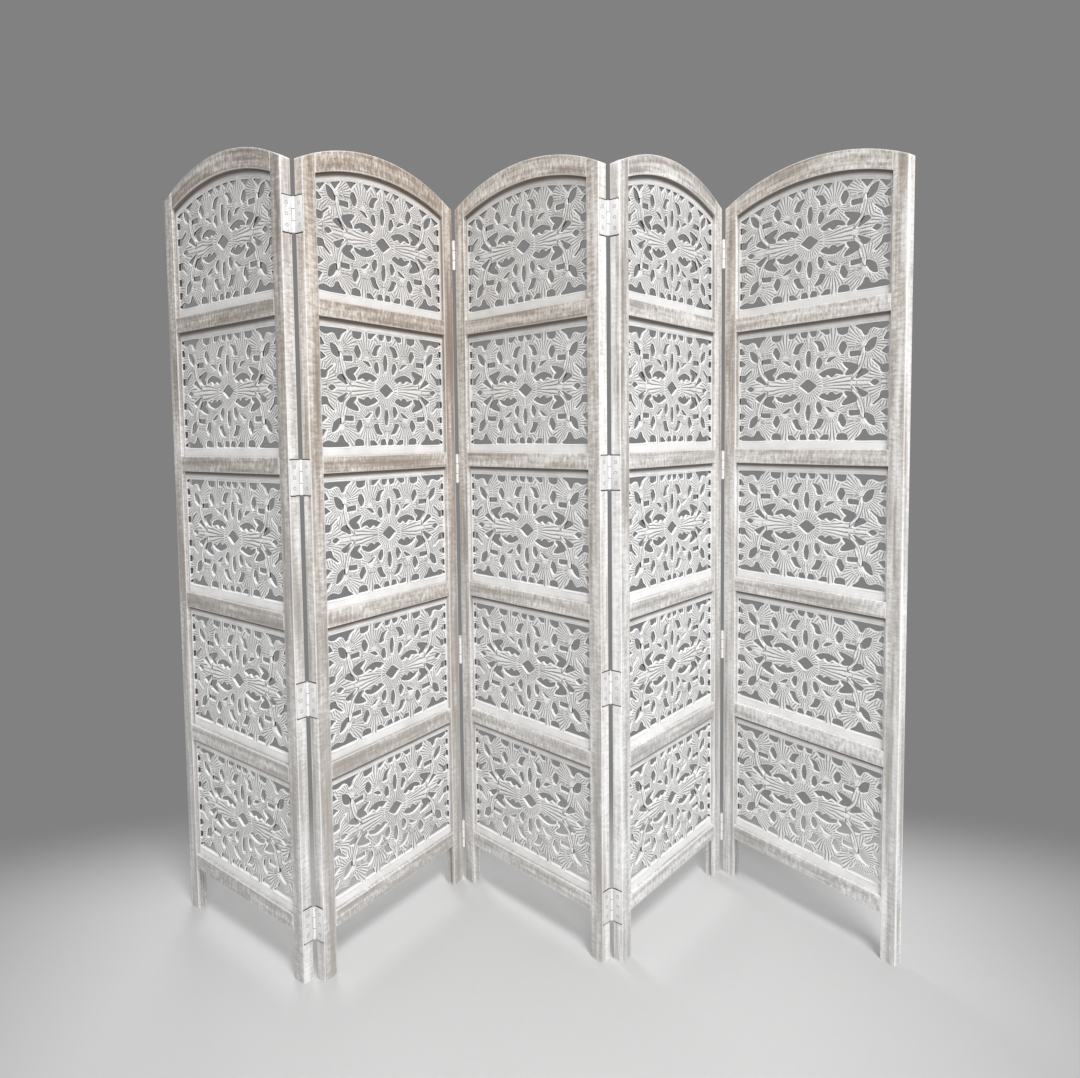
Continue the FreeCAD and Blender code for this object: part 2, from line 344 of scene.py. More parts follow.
class ScreenStage(bpy.types.PropertyGroup):
    """Camera, floor and light"""

    camera_place: FloatVectorProperty(
        name="Camera", description="Place of the camera", subtype="XYZ", unit="LENGTH",
        default=(0.00854, -1.86555, 1.18916))
    camera_pitch: number_property(
        "Pitch", "How far the camera looks down", math.radians(3.546), subtype="ANGLE")
    camera_roll: number_property(
        "Roll", "How far the camera leans", math.radians(0.701), subtype="ANGLE")
    focal_pixels: number_property(
        "Focal length", "Focal length in pixels of the picture", 784.77)
    centre_x_pixels: number_property(
        "Centre across", "Where the camera's axis meets the picture, across", 520.28)
    centre_y_pixels: number_property(
        "Centre down", "Where the camera's axis meets the picture, down", 485.63)
    floor_half_size: length_property("Floor", "Half size of the floor", 14.0)
    floor_grey: share_property("Floor grey", "Grey of the floor", 0.58)
    ground_grey: share_property("Ground grey", "Tone of the plain ground behind", 0.22)
    world_light: number_property("Soft light", "Strength of the light from all round", 0.48)
    light_below: share_property(
        "Light from below", "Share of the soft light that comes from below", 0.75)
    light_behind: share_property(
        "Light from behind", "How much more soft light comes from behind", 0.6)
    key_power: number_property("Key light", "Power of the high lamp on the right", 215.0)
    fill_power: number_property("Fill light", "Power of the large lamp in front", 86.0)
    rear_power: number_property("Rear light", "Power of the lamp behind the screen", 60.0)


class Leaf:
    """One leaf at rest, read from the packed model's boxes.

    The boxes of the two alike stiles have their middles in the stiles' own middles, so the
    line between them gives the leaf's direction, and its length the leaf's width.
    """

    def __init__(self, number, sizes):
        self.number = number
        self.body = "leaf_%d" % number
        low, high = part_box(self.body + "_left_stile")
        left = (low + high) / 2
        low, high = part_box(self.body + "_right_stile")
        across = (low + high) / 2 - left
        self.width = across.xy.length + sizes.stile_width
        self.along = np.array(across.xy.normalized())
        self.back = np.array([-self.along[1], self.along[0]])
        inset = self.along * sizes.stile_width / 2 + self.back * sizes.thickness / 2
        self.corner = np.array(left.xy) - inset
        low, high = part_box(self.body + "_bottom_rail")
        self.foot_height = low.z
        self.rail_height = high.z - low.z
        top_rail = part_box(self.body + "_cross_rails")[1].z
        self.pitch = (top_rail - high.z) / PLAIN_PANEL_COUNT
        self.arched_bottom = top_rail
        low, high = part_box(self.body + "_arch_rail")
        self.spring = low.z
        self.height = high.z
        self.middle = self.width / 2
        self.half_width = self.width / 2 - sizes.stile_width
        self.half_height = (self.pitch - self.rail_height) / 2
        self.half = np.array([self.half_width, self.half_height])

    def place(self, points):
        """Points of the leaf's own frame, moved to where the leaf stands."""
        placed = points.copy()
        placed[..., :2] = (
            self.corner + points[..., :1] * self.along + points[..., 1:2] * self.back
        )
        return placed


def leaves():
    """The five leaves from left to right."""
    sizes = bpy.context.scene.screen_frame
    return [Leaf(number, sizes) for number in range(1, LEAF_COUNT + 1)]


def arc_height(x, half_span, top, rise):
    """Height at x from an arc's middle.

    The circle passes through the top and falls by rise at half_span.
    """
    radius = (half_span**2 + rise**2) / (2 * rise)
    return top - radius + np.sqrt(radius**2 - x**2)


def outer_arch(leaf, x):
    """Height of the leaf's curved top edge at x in the leaf's frame."""
    rise = bpy.context.scene.screen_frame.arch_outer_rise
    return arc_height(x - leaf.middle, leaf.width / 2, leaf.height, rise)


def inner_arch(leaf, x):
    """Height of the curved underside of the arch rail at x in the leaf's frame."""
    rise = bpy.context.scene.screen_frame.arch_inner_rise
    inside = np.clip(x - leaf.middle, -leaf.half_width, leaf.half_width)
    return arc_height(inside, leaf.half_width, leaf.spring + rise, rise)


def smooth(value, low, high):
    """Rise from 0 at low to 1 at high along 3t^2 - 2t^3."""
    t = np.clip((value - low) / (high - low), 0, 1)
    return t * t * (3 - 2 * t)


def build_piece(leaf, name, shape, slot, nodes=()):
    """Make a mesh piece from a shape: points, arrays of faces by size, and attributes.

    The points are in the leaf's frame, and each attribute has one value or one vector for
    each point. The piece rides on the leaf's body, takes its finish from the slot and
    stands for the named nodes of the packed model.
    """
    points, face_groups, attributes = shape
    # Each leaf's share is its wash together with painted shade for the light that reaches the leaf
    wash = np.full(len(points), LEAF_WASH_AND_SHADE_SHARES[leaf.number - 1]) + attributes.get("wash", 0.0)
    warmth = np.full(len(points), LEAF_WARMTH_SHARES[leaf.number - 1])
    corners = np.concatenate([group.ravel() for group in face_groups]).astype(np.int32)
    sizes = np.concatenate([np.full(len(group), group.shape[1]) for group in face_groups])
    starts = np.concatenate([[0], np.cumsum(sizes)[:-1]]).astype(np.int32)
    mesh = bpy.data.meshes.new(name)
    mesh.vertices.add(len(points))
    mesh.vertices.foreach_set("co", leaf.place(points).astype(np.float32).ravel())
    mesh.loops.add(len(corners))
    mesh.loops.foreach_set("vertex_index", corners)
    mesh.polygons.add(len(sizes))
    mesh.polygons.foreach_set("loop_start", starts)
    for key, values in (attributes | {"wash": wash, "warmth": warmth}).items():
        kind, field = ("FLOAT_VECTOR", "vector") if values.ndim == 2 else ("FLOAT", "value")
        layer = mesh.attributes.new(key, kind, "POINT")
        layer.data.foreach_set(field, values.astype(np.float32).ravel())
    mesh.update(calc_edges=True)
    mesh.polygons.foreach_set("use_smooth", np.ones(len(sizes), dtype=bool))
    mesh.set_sharp_from_angle(angle=SHARP_ANGLE)
    mesh.materials.append(finish_of(slot))
    piece = bpy.data.objects.new(name, mesh)
    bpy.context.scene.collection.objects.link(piece)
    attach(piece, leaf.body)
    if nodes:
        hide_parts(*nodes)


def carried(points):
    """Closed skin of a profile carried along a path.

    points has one row of profile points for each station. Quads join each row to the next,
    and one face closes each end.
    """
    stations, sides = points.shape[:2]
    here = np.arange(sides)
    after = (here + 1) % sides
    row = np.arange(stations - 1)[:, None] * sides
    quads = np.stack([row + here, row + after, row + sides + after, row + sides + here], -1)
    ends = [here[::-1][None], (here + (stations - 1) * sides)[None]]
    return points.reshape(-1, 3), [quads.reshape(-1, 4), *ends]


def flipped(face_groups):
    """The same faces, wound the other way round."""
    return [group[:, ::-1] for group in face_groups]


def joined(shapes):
    """Several shapes put into one."""
    points, face_groups, attributes, start = [], [], {}, 0
    for part_points, part_groups, part_attributes in shapes:
        points.append(part_points)
        face_groups += [group + start for group in part_groups]
        start += len(part_points)
        for key, values in part_attributes.items():
            attributes.setdefault(key, []).append(values)
    attributes = {key: np.concatenate(values) for key, values in attributes.items()}
    return np.concatenate(points), face_groups, attributes


def rounded_corners(width, height, radius, band):
    """Rectangle from (0, 0), counter-clockwise, with arcs at its corners.

    Each corner is a quarter circle, and a point one band away on either side of it lets the
    wear and the painted highlight beside the edge stay narrow.
    """
    centres = ((radius, radius), (width - radius, radius), (width - radius, height - radius),
               (radius, height - radius))
    points = []
    for quarter, (x, y) in enumerate(centres):
        turned = np.linspace(0, math.pi / 2, CORNER_STEPS + 1)
        angles = math.pi + quarter * math.pi / 2 + turned
        arc = np.stack([x + radius * np.cos(angles), y + radius * np.sin(angles)], -1)
        ahead = np.stack([-np.sin(angles), np.cos(angles)], -1)
        before = arc[0] - (band - radius) * ahead[0]
        after = arc[-1] + (band - radius) * ahead[-1]
        points += [before[None], arc, after[None]]
    return np.concatenate(points)


def corner_distance(profile, width, height):
    """Distance of each profile point from the nearest corner of its rectangle."""
    corners = np.array([(0, 0), (width, 0), (width, height), (0, height)])
    return np.linalg.norm(profile[:, None] - corners, axis=-1).min(1)


def stations_between(start, end, sizes):
    """Places of a board's sections: close together at its two ends, even in between."""
    ends = np.array([0, sizes.end_radius, sizes.edge_band])
    count = max(2, int(round((end - start) / sizes.station_gap)))
    middle = np.linspace(start + sizes.edge_band, end - sizes.edge_band, count)[1:-1]
    return np.concatenate([start + ends, middle, (end - ends)[::-1]])


def drawn_in(profile, size, inset):
    """Profile moved towards its middle by inset along both axes, for each station."""
    middle = np.array(size) / 2
    reach = np.abs(profile - middle).max(0)
    return middle + (profile - middle) * (1 - inset[:, None, None] / reach)


def rounded_ends(profile, size, count, radius):
    """Sections of a board: the profile, drawn in by the radius at the first and the last."""
    inset = np.zeros(count)
    inset[[0, -1]] = radius
    return drawn_in(profile, size, inset)


def board_attributes(arris, board, sawn, off_side, wash):
    """What the frame's finish reads: edge distance, place in the wood, saw marks and wash.

    off_side is the profile's distance from the side that has more wash on a stile and painted shade
    under a rail.
    """
    radius = bpy.context.scene.screen_frame.edge_radius
    on_side = np.broadcast_to(off_side < radius / 2, arris.shape)
    return {"arris": arris.ravel(), "board": board.reshape(-1, 3),
            "sawn": np.full(arris.size, sawn), "wash": wash * on_side.ravel()}


def stile(leaf, side):
    """Upright: the grooved section carried up to the leaf's curved top edge.

    A section at share s of the way up lies at s times the height of the top edge over it.
    The groove comes after the outline's first two corners, in the inner edge.
    """
    sizes = bpy.context.scene.screen_frame
    width, depth = sizes.stile_width, sizes.thickness
    outline = rounded_corners(width, depth, sizes.edge_radius, sizes.edge_band)
    front = (depth - sizes.groove_width) / 2
    back = depth - front
    bottom = width - sizes.groove_depth
    groove = np.array([(width, front), (bottom, front), (bottom, back), (width, back)])
    corners = 2 * CORNER_POINTS
    profile = np.concatenate([outline[:corners], groove, outline[corners:]])
    up = stations_between(0, leaf.spring, sizes) / leaf.spring
    section = rounded_ends(profile, (width, depth), len(up), sizes.end_radius)
    top = outer_arch(leaf, section[..., 0])
    height = up[:, None] * top
    points = np.concatenate([section, height[..., None]], -1)
    ends = np.minimum(height, top - height)
    arris = np.minimum(corner_distance(profile, width, depth), ends)
    seed = leaf.number + (side == "right") / 2
    board = points[..., [2, 0, 1]] + np.array(STILE_GRAIN_STEP) * seed
    points, face_groups = carried(points)
    if side == "right":
        points[:, 0] = leaf.width - points[:, 0]
        face_groups = flipped(face_groups)
    attributes = board_attributes(arris, board, STILE_SAWN, profile[:, 0], OUTER_WASH)
    return points, face_groups, attributes


def rail(leaf, bottom_at, top_at, seed):
    """Board between the stiles: the rounded section carried along x between two heights.

    bottom_at and top_at give the rail's lower and upper edge at x. A section point that is
    nearer the lower edge keeps its distance from that, and the others from the upper edge.
    """
    sizes = bpy.context.scene.screen_frame
    depth = sizes.thickness
    x = stations_between(sizes.stile_width, leaf.width - sizes.stile_width, sizes)
    low, high = bottom_at(x)[:, None], top_at(x)[:, None]
    height = float((high - low).min())
    profile = rounded_corners(depth, height, sizes.edge_radius, sizes.edge_band)
    section = rounded_ends(profile, (depth, height), len(x), sizes.end_radius)
    near_low = section[..., 1] < height / 2
    z = np.where(near_low, low + section[..., 1], high - (height - section[..., 1]))
    points = np.stack([np.broadcast_to(x[:, None], z.shape), section[..., 0], z], -1)
    ends = np.minimum(x - x[0], x[-1] - x)[:, None]
    arris = np.minimum(corner_distance(profile, depth, height), ends)
    board = points[..., [0, 2, 1]]
    board[..., 1] -= low
    board += np.array(RAIL_GRAIN_STEP) * (seed + leaf.number / 3)
    points, face_groups = carried(points)
    # The wash attribute carries painted shade onto the rails' undersides
    attributes = board_attributes(arris, board, RAIL_SAWN, profile[:, 1], UNDERSIDE_PAINTED_SHADE)
    return points, face_groups, attributes


def level(height):
    """A straight edge at one height, as a function of x."""
    return lambda x: np.full_like(x, height)


def curve_through(shares, closed, slope):
    """Smooth line through points.

    Between two of them it follows the cubic whose slope at each point is a share of the
    step between the point's neighbours.
    """
    points = np.array(shares, float)
    before, after = points[-1:], points[:2]
    if not closed:
        before, after = 2 * points[:1] - points[1:2], 2 * points[-1:] - points[-2:-1]
    ring = np.concatenate([before, points, after])
    a, b, c, d = ring[:-3, None], ring[1:-2, None], ring[2:-1, None], ring[3:, None]
    t = np.linspace(0, 1, CURVE_STEPS, endpoint=False)[None, :, None]
    leaving, arriving = slope * (c - a), slope * (d - b)
    cubic = b + t * leaving + t**2 * (3 * (c - b) - 2 * leaving - arriving) \
        + t**3 * (2 * (b - c) + leaving + arriving)
    line = cubic.reshape(-1, 2)
    return line if closed else np.concatenate([line, points[-1:]])


def distance_to_line(points, line, closed):
    """Least distance from each point to a line of straight steps, and whether it is inside.

    The distance is to the nearest place on each step. A point is inside a closed line when
    a level ray from it crosses the line an odd number of times.
    """
    start = line if closed else line[:-1]
    end = np.roll(line, -1, 0) if closed else line[1:]
    step = end - start
    offset = points[:, None] - start
    t = np.clip((offset * step).sum(-1) / (step**2).sum(-1), 0, 1)
    distance = np.linalg.norm(offset - t[..., None] * step, axis=-1).min(1)
    above = points[:, None, 1] < end[:, 1]
    crosses = (points[:, None, 1] < start[:, 1]) != above
    rise = np.where(step[:, 1] == 0, 1, step[:, 1])
    ahead = points[:, None, 0] < start[:, 0] + step[:, 0] * offset[..., 1] / rise
    return distance, (crosses & ahead).sum(1) % 2 == 1


def outline_distance(points, outline):
    """Distance from each point to a closed outline, negative inside it."""
    distance, inside = distance_to_line(points, outline, True)
    return np.where(inside, -distance, distance)


def openings_distance(quarter, shapes, half):
    """Distance to the nearest opening's edge, negative inside an opening.

    Each opening is its outline together with the outline moved to either side.
    """
    growth = bpy.context.scene.screen_carving.side_growth
    nearest = np.full(len(quarter), np.inf)
    for name, shares in shapes.items():
        line = np.array(shares, float)
        if name in CURVED_OPENING_SHARES:
            line = curve_through(shares, True, OPENING_SLOPE)
        for side in (-growth, 0, growth):
            moved = line / 1000 * half + np.array([side, 0])
            nearest = np.minimum(nearest, outline_distance(quarter, moved))
    return nearest


def ceiling_height(leaf, x, arched):
    """Height of the frame's edge over a panel, from the middle of the panel's opening."""
    if not arched:
        return np.full_like(x, leaf.half_height)
    return inner_arch(leaf, leaf.middle + x) - (leaf.arched_bottom + leaf.half_height)


def wood_from_opening(leaf, x, z, arched):
    """Distance into the wood from the nearest opening, at points from a panel's middle.

    Above its middle the arched panel has three-cornered openings under the arch instead of
    those next to the rail, and the others stop short of the arch's border.
    """
    sizes = bpy.context.scene.screen_carving
    quarter = np.stack([np.abs(x), np.abs(z)], -1)
    shapes = STRAIGHT_OPENING_SHARES | CURVED_OPENING_SHARES
    edge = openings_distance(quarter, shapes, leaf.half)
    if arched:
        shapes = {name: shares for name, shares in shapes.items() if name not in ROW_OPENINGS}
        border = ceiling_height(leaf, x, arched) - sizes.arch_border
        upper = np.maximum(openings_distance(quarter, shapes, leaf.half), z - border)
        folded = np.stack([np.abs(x), z], -1)
        for middle, half_width, depth in ARCH_OPENING_SHARES:
            side = np.array([middle - half_width, middle + half_width, middle])
            side = side / 1000 * leaf.half_width + np.array([-1, 1, 0]) * sizes.side_growth
            top = ceiling_height(leaf, side, arched) - sizes.arch_border
            top[2] -= depth / 1000 * leaf.half_height
            upper = np.minimum(upper, outline_distance(folded, np.stack([side, top], -1)))
        edge = np.where(z > 0, upper, edge)
    return edge - sizes.opening_growth


def fan_strokes(leaf, quarter, stem):
    """The gouge's strokes: their count across, and how plain they are to see.

    In a fan the count grows with the angle about the fan's middle. A point belongs to the
    fan whose middle is nearest in shares of its reach, and near that middle there are half
    as many strokes.
    """
    sizes = bpy.context.scene.screen_carving
    fans = np.array(FAN_SHARES, float) / 1000
    offset = quarter[:, None] - fans[:, :2] * leaf.half
    reach = fans[:, 2] * leaf.half_height
    share = np.linalg.norm(offset, axis=-1) / reach
    angle = np.arctan2(offset[..., 1], offset[..., 0])
    count = angle * STROKE_WIDTH_SHARE * reach / sizes.stroke_width
    count = count * np.where(share < HALVED_SHARE, 0.5, 1)
    turn = np.take_along_axis(count, share.argmin(1)[:, None], 1)[:, 0]
    nearest, second = np.sort(share, 1)[:, :2].T
    clear = smooth(second - nearest, 0, NEXT_FAN_FADE) * smooth(nearest, *MIDDLE_FADE) \
        * smooth(np.abs(nearest - HALVED_SHARE), 0, HALVING_FADE) \
        * smooth(stem, sizes.stem_half_width, sizes.stem_half_width * STEM_CLEARANCE)
    return turn, clear


def plain_border(leaf, x, z, arched):
    """1 in the uncarved border along the frame and 0 in the carving, and how bare and shaded it is.

    The corner under the rail above gets bare wood and the most painted shade, the other three less.
    """
    above = ceiling_height(leaf, x, arched) - z
    below, beside = leaf.half_height + z, leaf.half_width - np.abs(x)
    border = np.maximum(1 - smooth(np.minimum(above, below), *RAIL_BORDER),
                        1 - smooth(beside, *STILE_BORDER))
    bare = np.maximum.reduce([
        share * (1 - smooth(distance, low, high))
        for distance, (share, low, high) in zip((above, beside, below), BARE_AND_SHADED_CORNERS)])
    return border, bare


def carved_pattern(leaf, x, z, arched):
    """The carving at points (x, z) from the middle of a panel's opening.

    Gives the distance into the wood from the nearest opening, the distance from the stem,
    the strokes' count and how plain they are, and the border and how bare and shaded it is.
    The stem's distance grows by its half width where the stem sinks into the wood.
    """
    half_width = bpy.context.scene.screen_carving.stem_half_width
    quarter = np.stack([np.abs(x), np.abs(z)], -1)
    line = curve_through(STEM_SHARES, False, STEM_SLOPE) / 1000 * leaf.half
    up = quarter[:, 1] / leaf.half_height
    sinking = smooth(up, *STEM_END) + 1 - smooth(up, *STEM_START)
    stem = distance_to_line(quarter, line, False)[0] + half_width * sinking
    turn, clear = fan_strokes(leaf, quarter, stem)
    border, bare = plain_border(leaf, x, z, arched)
    edge = wood_from_opening(leaf, x, z, arched)
    return edge, stem, turn, clear * (1 - border), border, bare


def carved_depth(edge, stem, border, sizes):
    """How far the carved face lies below the board's own face.

    It falls away at the openings along a quarter wave, dips between the twin stems, and
    lies lower in the leaves than in the stems and the plain border.
    """
    fall = 1 - np.sqrt(np.clip(1 - (1 - np.clip(edge / sizes.edge_reach, 0, 1))**2, 0, 1))
    side = (sizes.stem_half_width + STEM_SIDE[0], sizes.stem_half_width + STEM_SIDE[1])
    ground = sizes.ground_drop * smooth(stem, *side)
    valley = VALLEY_SHARE * sizes.ground_drop * np.exp(-((stem / VALLEY_HALF_WIDTH) ** 2))
    return (sizes.edge_drop * fall + ground + valley) * (1 - border) + LEAST_DROP


def pierced_sheet(x, z, field):
    """Flat sheet left where a field on a grid is positive, cut along its zero line.

    The zero line crosses a grid edge where the field, taken as even along the edge, is
    zero. Each square keeps the corners inside and the crossings, in order round it.
    Gives the points, the faces by size, the number of grid points kept, and the sheet's
    border as pairs of points with the wood on the left.
    """
    inside = field > 0
    grid = np.stack(np.meshgrid(x, z, indexing="ij"), -1)
    number = np.full(field.shape, -1)
    kept = int(inside.sum())
    number[inside] = np.arange(kept)
    points, crossings, count = [grid[inside]], [], kept
    for first, last in ((np.s_[:-1], np.s_[1:]), (np.s_[:, :-1], np.s_[:, 1:])):
        cut = inside[first] != inside[last]
        share = (field[first] / np.where(cut, field[first] - field[last], 1))[cut][:, None]
        points.append(grid[first][cut] * (1 - share) + grid[last][cut] * share)
        index = np.full(cut.shape, -1)
        index[cut] = count + np.arange(int(cut.sum()))
        count += int(cut.sum())
        crossings.append(index)
    across, upward = crossings
    ring = np.stack([
        number[:-1, :-1], across[:, :-1], number[1:, :-1], upward[1:],
        number[1:, 1:], across[:, 1:], number[:-1, 1:], upward[:-1],
    ], -1)
    filled = ring >= 0
    size = filled.sum(-1)
    face_groups, border = [], []
    for corners in range(3, 7):
        cells = size == corners
        faces = ring[cells][filled[cells]].reshape(-1, corners)
        following = np.roll(faces, -1, 1)
        on_border = (faces >= kept) & (following >= kept)
        border.append(np.stack([faces[on_border], following[on_border]], -1))
        if len(faces):
            face_groups.append(faces)
    return np.concatenate(points), face_groups, kept, np.concatenate(border)


def upward_lips(flat, rim):
    """How far the opening's wall at each border point faces up: 1 straight up, -1 down.

    A border step that goes from right to left has its wood below it, so the wall's share is
    the step's fall in x over its length, halved between the step's two points.
    """
    step = flat[rim[:, 1]] - flat[rim[:, 0]]
    length = np.linalg.norm(step, axis=1)
    facing = -step[:, 0] / np.where(length > 0, length, 1)
    lip = np.zeros(len(flat))
    for column in (0, 1):
        np.add.at(lip, rim[:, column], facing / 2)
    return lip


def carved_board(leaf, arched):
    """Carved and pierced board round the middle of an opening.

    Two sheets cut by the same openings, front and back, each lowered by the carving, with
    walls between them that pass a middle ring of points.
    """
    sizes = bpy.context.scene.screen_carving
    reach = leaf.half_width + sizes.rebate
    floor = -leaf.half_height - sizes.rebate
    top = leaf.half_height + sizes.rebate
    if arched:
        top = leaf.height - leaf.arched_bottom - leaf.half_height
    x = np.arange(-reach - sizes.pitch, reach + 2 * sizes.pitch, sizes.pitch)
    z = np.arange(floor - sizes.pitch, top + 2 * sizes.pitch, sizes.pitch)
    flat_x, flat_z = (values.ravel() for values in np.meshgrid(x, z, indexing="ij"))
    ceiling = ceiling_height(leaf, flat_x, arched) + sizes.rebate
    field = np.minimum.reduce([
        wood_from_opening(leaf, flat_x, flat_z, arched),
        reach - np.abs(flat_x), ceiling - flat_z, flat_z - floor])
    least = LEAST_CUT_SHARE * sizes.pitch
    field = np.where(np.abs(field) < least, np.where(field > 0, least, -least), field)
    flat, face_groups, kept, rim = pierced_sheet(x, z, field.reshape(len(x), len(z)))
    edge, stem, turn, clear, border, bare = carved_pattern(leaf, *flat.T, arched)
    depth = carved_depth(edge, stem, border, sizes)
    points = np.concatenate([
        np.insert(flat, 1, depth, axis=1),
        np.insert(flat, 1, sizes.thickness - depth, axis=1),
        np.insert(flat[kept:], 1, sizes.thickness / 2, axis=1)])
    back, ring = len(flat), 2 * len(flat) - kept
    face_groups = face_groups + [group + back for group in flipped(face_groups)]
    here, after = rim.T
    face_groups.append(np.stack([after, here, here + ring, after + ring], -1))
    face_groups.append(np.stack([after + ring, here + ring, here + back, after + back], -1))
    carving = np.stack([edge, turn, stem], -1)
    stroke = np.stack([clear, bare, upward_lips(flat, rim)], -1)
    ring_carving, ring_stroke = carving[kept:].copy(), stroke[kept:].copy()
    ring_carving[:, 0] = -sizes.thickness / 2
    ring_stroke[:, 0] = 0
    return points, face_groups, {
        "carving": np.concatenate([carving, carving, ring_carving]),
        "stroke": np.concatenate([stroke, stroke, ring_stroke])}


def hand_play(leaf, points, seed):
    """Points of a board with the small stray of the hand.

    Slow waves, a sine across times a sine up, that fade out at the board's edges.
    """
    play = bpy.context.scene.screen_carving.hand_play
    across = np.abs(points[:, 0]) / leaf.half_width
    up = np.abs(points[:, 2]) / leaf.half_height
    fade = (1 - smooth(across, *PLAY_FADE_ACROSS)) * (1 - smooth(up, *PLAY_FADE_UP))
    moved = points.copy()
    for axis, turns_across, turns_up, step in PLAY_WAVES:
        phase = step * seed
        wave = np.sin(turns_across * points[:, 0] + phase) \
            * np.sin(turns_up * points[:, 2] + PLAY_UP_PHASE * phase)
        moved[:, axis] += play * fade * wave
    return moved


def edge_of(leaf, side):
    """Place of the leaf's left or right edge, and the direction that points off it."""
    return (leaf.width, 1) if side == "right" else (0.0, -1)


def pin_line(leaf, side, pin_face):
    """Place (x, y) of a fold's pin line in the leaf's frame."""
    hinges = bpy.context.scene.screen_hinges
    thickness = bpy.context.scene.screen_frame.thickness
    edge, outward = edge_of(leaf, side)
    y = thickness + hinges.pin_offset if pin_face == "back" else -hinges.pin_offset
    return edge + outward * hinges.gap / 2, y


def turned_bar(levels, sides, centre):
    """Closed bar turned about an upright line: one ring for each (radius, height).

    Its ends are marked for wear by their distance up or down to the bar's end.
    """
    angle = np.arange(sides) * 2 * math.pi / sides
    radius, height = np.array(levels, float).T[..., None]
    points, face_groups = carried(np.stack([
        centre[0] + radius * np.cos(angle), centre[1] + radius * np.sin(angle),
        centre[2] + height + 0 * angle], -1))
    z = points[:, 2]
    arris = np.minimum(z - z.min(), z.max() - z)
    return points, face_groups, {"arris": arris, "board": points[:, [2, 0, 1]]}


def flat_plate(y_span, z_span, x0, x1, radius, chamfer):
    """Plate in the plane of y and z with rounded corners, from x0 out to x1.

    The rounded outline is carried from the wood to the outer face and drawn in there.
    """
    (y0, y1), (z0, z1) = sorted(y_span), z_span
    size = (y1 - y0, z1 - z0)
    band = min(CORNER_BAND_RADII * radius, size[0] * CORNER_BAND_SHARE)
    outline = rounded_corners(*size, radius, band)
    section = drawn_in(outline, size, np.array([0.0, 0.0, chamfer])) + np.array([y0, z0])
    x = np.array([x0, x1 - math.copysign(chamfer, x1 - x0), x1])[:, None, None]
    points = np.concatenate([np.broadcast_to(x, section.shape[:2] + (1,)), section], -1)
    y, z = points[..., 1], points[..., 2]
    arris = np.minimum.reduce([y - y0, y1 - y, z - z0, z1 - z])
    points, face_groups = carried(points)
    if x1 < x0:
        face_groups = flipped(face_groups)
    return points, face_groups, {"arris": arris.ravel(), "board": points[:, [2, 0, 1]]}


def hinge_half(leaf, side, pin_face, middle):
    """Plate on the stile's edge, with its fingers and round knuckles about the pin.

    A bed of painted shadow, for the plate's mortise, shows past its two ends. A plate on a
    leaf's right edge has the two outer knuckles, and one on a left edge has the middle one.
    """
    hinges = bpy.context.scene.screen_hinges
    thickness = bpy.context.scene.screen_frame.thickness
    edge, outward = edge_of(leaf, side)
    face, away = (thickness, 1) if pin_face == "back" else (0.0, -1)
    pin_x, pin_y = pin_line(leaf, side, pin_face)
    near_end = face - away * hinges.knuckle_gap
    width = (face - away * (thickness - hinges.plate_margin), near_end)
    outside = edge + outward * hinges.plate_thickness
    half = hinges.plate_height / 2
    inner = hinges.middle_knuckle / 2
    spans = [(-inner, inner)]
    if side == "right":
        inner += hinges.knuckle_gap
        spans = [(inner, half), (-half, -inner)]
    bed = flat_plate(width, (middle - half - hinges.shadow_bed_gap, middle + half + hinges.shadow_bed_gap),
                     edge, edge + outward * SHADOW_BED_STAND, *SHADOW_BED_CORNERS)
    # The whole bed is marked for painted shadow
    bed[2]["arris"][:] = PAINTED_SHADE_HOLLOW
    plate = flat_plate(width, (middle - half, middle + half), edge, outside, *PLATE_CORNERS)
    parts = [bed, plate]
    for low, high in spans:
        parts.append(flat_plate((near_end, pin_y), (middle + low, middle + high), edge, outside,
                                *FINGER_CORNERS))
        radius = hinges.barrel_radius
        levels = ((radius - KNUCKLE_CHAMFER, low), (radius, low + KNUCKLE_CHAMFER),
                  (radius, high - KNUCKLE_CHAMFER), (radius - KNUCKLE_CHAMFER, high))
        knuckle = turned_bar(levels, hinges.barrel_sides, (pin_x, pin_y, middle))
        # The knuckles' chamfered ends get painted shade, for the gaps between knuckles
        wear = knuckle[2]["arris"]
        wear[wear < KNUCKLE_CHAMFER / 2] = PAINTED_SHADE_HOLLOW
        parts.append(knuckle)
    return parts


